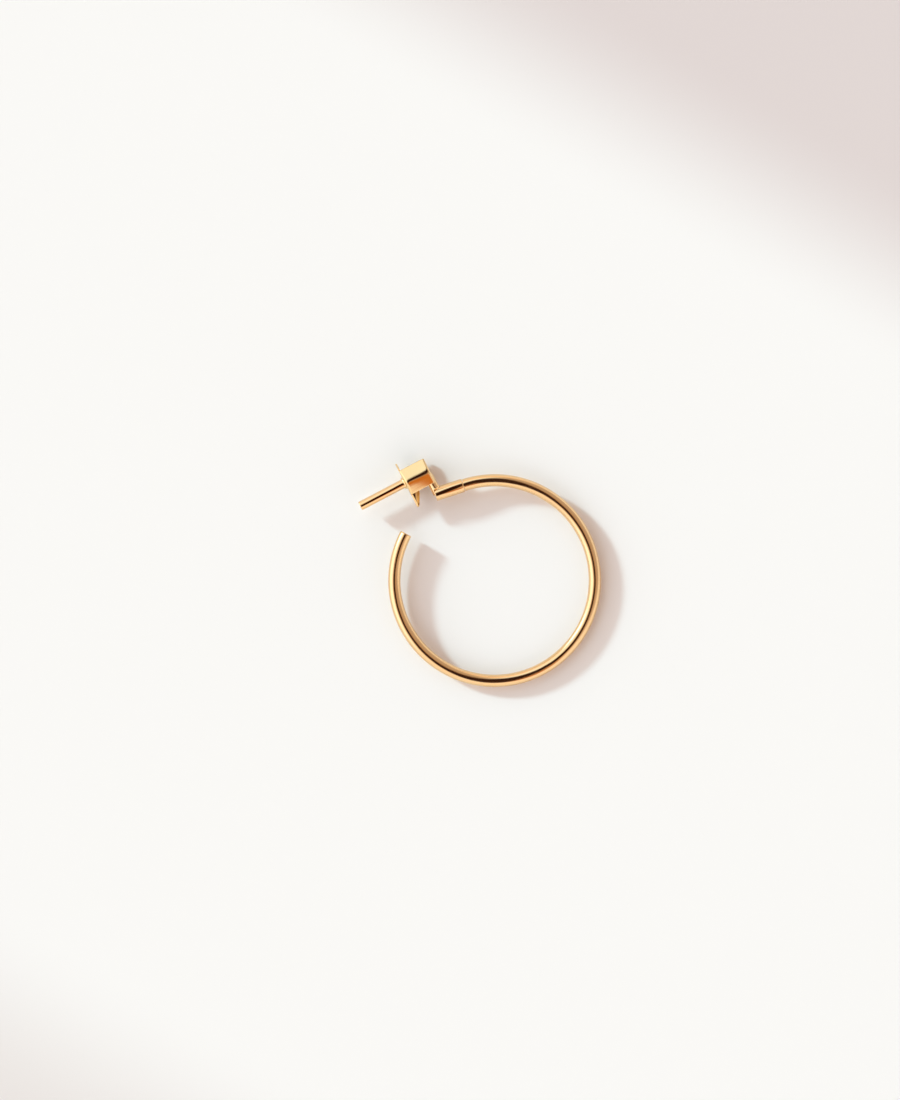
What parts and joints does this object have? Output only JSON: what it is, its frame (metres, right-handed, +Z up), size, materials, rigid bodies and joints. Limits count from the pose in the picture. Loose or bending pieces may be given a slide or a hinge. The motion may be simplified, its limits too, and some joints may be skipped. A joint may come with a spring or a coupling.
{
  "type": "hoop earring with post and butterfly clutch",
  "caption": "Open round-wire hoop earring with an end collar, a soldered ear post and a butterfly clutch that slides off the post.",
  "frame": {"origin": "on the resting surface, under the middle of the box of the earring as it lies on its side", "axes": "+Z up from the resting surface, +X from the post's tip side to the closed side of the ring, +Y towards the clutch"},
  "size_m": [0.0284, 0.0268, 0.0037],
  "materials": {
    "ring_gold": "gold plated, mirror polished",
    "post_gold": "gold plated, mirror polished",
    "clutch_gold": "gold plated, bright stamped sheet"
  },
  "bodies": {
    "earring": {"hoop_ring": "ring_gold", "ear_post": "post_gold"},
    "clutch": {"butterfly_clutch": "clutch_gold"}
  },
  "joints": [
    {"name": "clutch_slide", "type": "slide", "parent": "earring", "child": "clutch", "axis": [-0.8861, -0.4635, 0.0107], "range_m": [-0.0012, 0.0095]}
  ]
}
